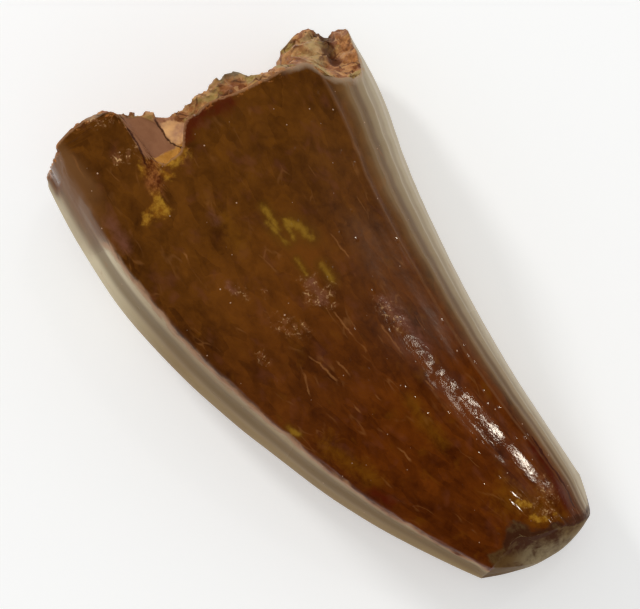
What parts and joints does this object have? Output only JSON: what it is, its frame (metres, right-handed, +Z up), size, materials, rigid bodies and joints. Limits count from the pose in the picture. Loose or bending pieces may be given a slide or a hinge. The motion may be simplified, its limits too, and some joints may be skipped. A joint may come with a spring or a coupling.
{
  "type": "fossil mosasaur tooth",
  "caption": "Fossil mosasaur tooth crown, broken off its root, lying on its side: dark glossy enamel, a sharp front edge, a fluted back edge, a jagged base and a worn tip.",
  "frame": {"origin": "in the resting plane, under the middle of the crown's outline", "axes": "+X along the crown from the broken base to the worn tip, +Y towards the fluted back edge, +Z up"},
  "size_m": [0.031, 0.018, 0.0109],
  "materials": {
    "enamel": "glossy dark brown fossil enamel"
  },
  "bodies": {
    "root": {"tooth": "enamel"}
  },
  "joints": []
}
